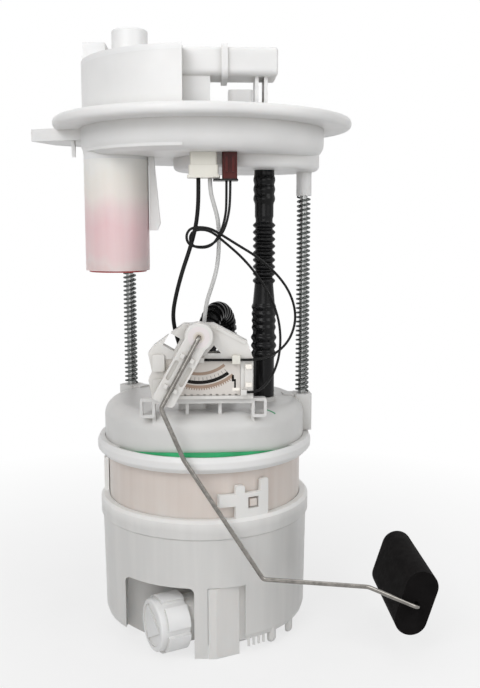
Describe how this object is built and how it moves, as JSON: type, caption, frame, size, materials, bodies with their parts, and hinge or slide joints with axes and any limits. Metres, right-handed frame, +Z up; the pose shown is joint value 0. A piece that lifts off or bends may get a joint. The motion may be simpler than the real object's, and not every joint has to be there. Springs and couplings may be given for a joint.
{
  "type": "fuel pump module",
  "caption": "In-tank fuel pump module: bucket with pump and filter, sprung flange on guide rods with connector and vent valve, hoses, level sender with float arm.",
  "frame": {"origin": "centre of the base, on the axis of the bucket, at the level of the tank floor", "axes": "+Z up along the guide rods, -Y to the side with the level sender, +X towards the float"},
  "size_m": [0.1998, 0.1492, 0.303],
  "materials": {
    "white_pom": "moulded white acetal, slightly milky",
    "natural_pom": "natural acetal with a warm beige tint",
    "vent_translucent": "milky translucent moulding that shows red through",
    "red_plastic": "red moulding",
    "green_rubber": "green seal rubber",
    "black_rubber": "black rubber or black corrugated tube",
    "float_foam": "black closed-cell nitrile foam",
    "ivory_plastic": "ivory connector plastic",
    "brown_plastic": "red-brown connector plastic",
    "grey_insulation": "light grey wire insulation",
    "card_ceramic": "ivory ceramic resistor card",
    "bright_steel": "bright drawn wire or bar",
    "spring_steel": "dark zinc plated spring wire",
    "pump_steel": "plated steel can",
    "contact_brass": "tinned brass contact",
    "magnet_ferrite": "ferrite magnet",
    "armature_iron": "laminated iron with copper winding",
    "filter_paper": "pleated filter paper",
    "strainer_mesh": "white nylon strainer cloth"
  },
  "bodies": {
    "reservoir": {"bucket": "white_pom", "container": "natural_pom", "regulator_cap": "white_pom", "regulator": "bright_steel", "locking_ring": "white_pom", "lid_seal": "green_rubber", "lid": "white_pom", "pump_can": "pump_steel", "pump_inlet_cap": "white_pom", "pump_outlet_cap": "white_pom", "magnets": "magnet_ferrite", "pump_cradle": "black_rubber", "strainer": "strainer_mesh", "filter_element": "filter_paper", "sender_frame": "white_pom", "resistor_card": "card_ceramic", "sender_contacts": "contact_brass", "transfer_hose": "black_rubber"},
    "flange": {"flange_cover": "white_pom", "chamber_cover": "white_pom", "terminal_blades": "contact_brass", "guide_rod_right": "bright_steel", "guide_rod_left": "bright_steel", "rod_clips": "spring_steel", "vent_housing": "vent_translucent", "vent_base": "red_plastic", "pump_plug": "ivory_plastic", "sender_plug": "brown_plastic", "plug_plate": "black_rubber", "spring_right": "spring_steel", "spring_left": "spring_steel", "supply_hose": "black_rubber", "pump_lead_black": "black_rubber", "pump_lead_grey": "grey_insulation", "sender_lead_a": "black_rubber", "sender_lead_b": "black_rubber"},
    "arm": {"arm_holder": "white_pom", "wiper": "contact_brass", "arm_wire": "bright_steel", "float_nut": "bright_steel"},
    "float": {"float_block": "float_foam"},
    "rotor": {"armature": "armature_iron", "impeller": "natural_pom"},
    "vent_float": {"vent_float": "red_plastic"}
  },
  "joints": [
    {"name": "flange_slide", "type": "slide", "parent": "reservoir", "child": "flange", "axis": [0, 0, -1], "range_m": [0, 0.025], "stiffness_N_per_m": 400, "springref_m": -0.05, "deforming": ["spring_right", "spring_left", "supply_hose", "pump_lead_black", "pump_lead_grey", "sender_lead_a", "sender_lead_b"]},
    {"name": "arm_swing", "type": "hinge", "parent": "reservoir", "child": "arm", "pos_m": [-0.0024, -0.05, 0.1586], "axis": [0, -1, 0], "range_deg": [0, 72]},
    {"name": "float_swivel", "type": "hinge", "parent": "arm", "child": "float", "pos_m": [0.1022, -0.03, 0.0273], "axis": [0, 1, 0], "continuous": true},
    {"name": "rotor_spin", "type": "hinge", "parent": "reservoir", "child": "rotor", "pos_m": [0, 0, 0.06], "axis": [0, 0, 1], "continuous": true},
    {"name": "vent_float_lift", "type": "slide", "parent": "flange", "child": "vent_float", "axis": [0, 0, 1], "range_m": [0, 0.003]}
  ]
}
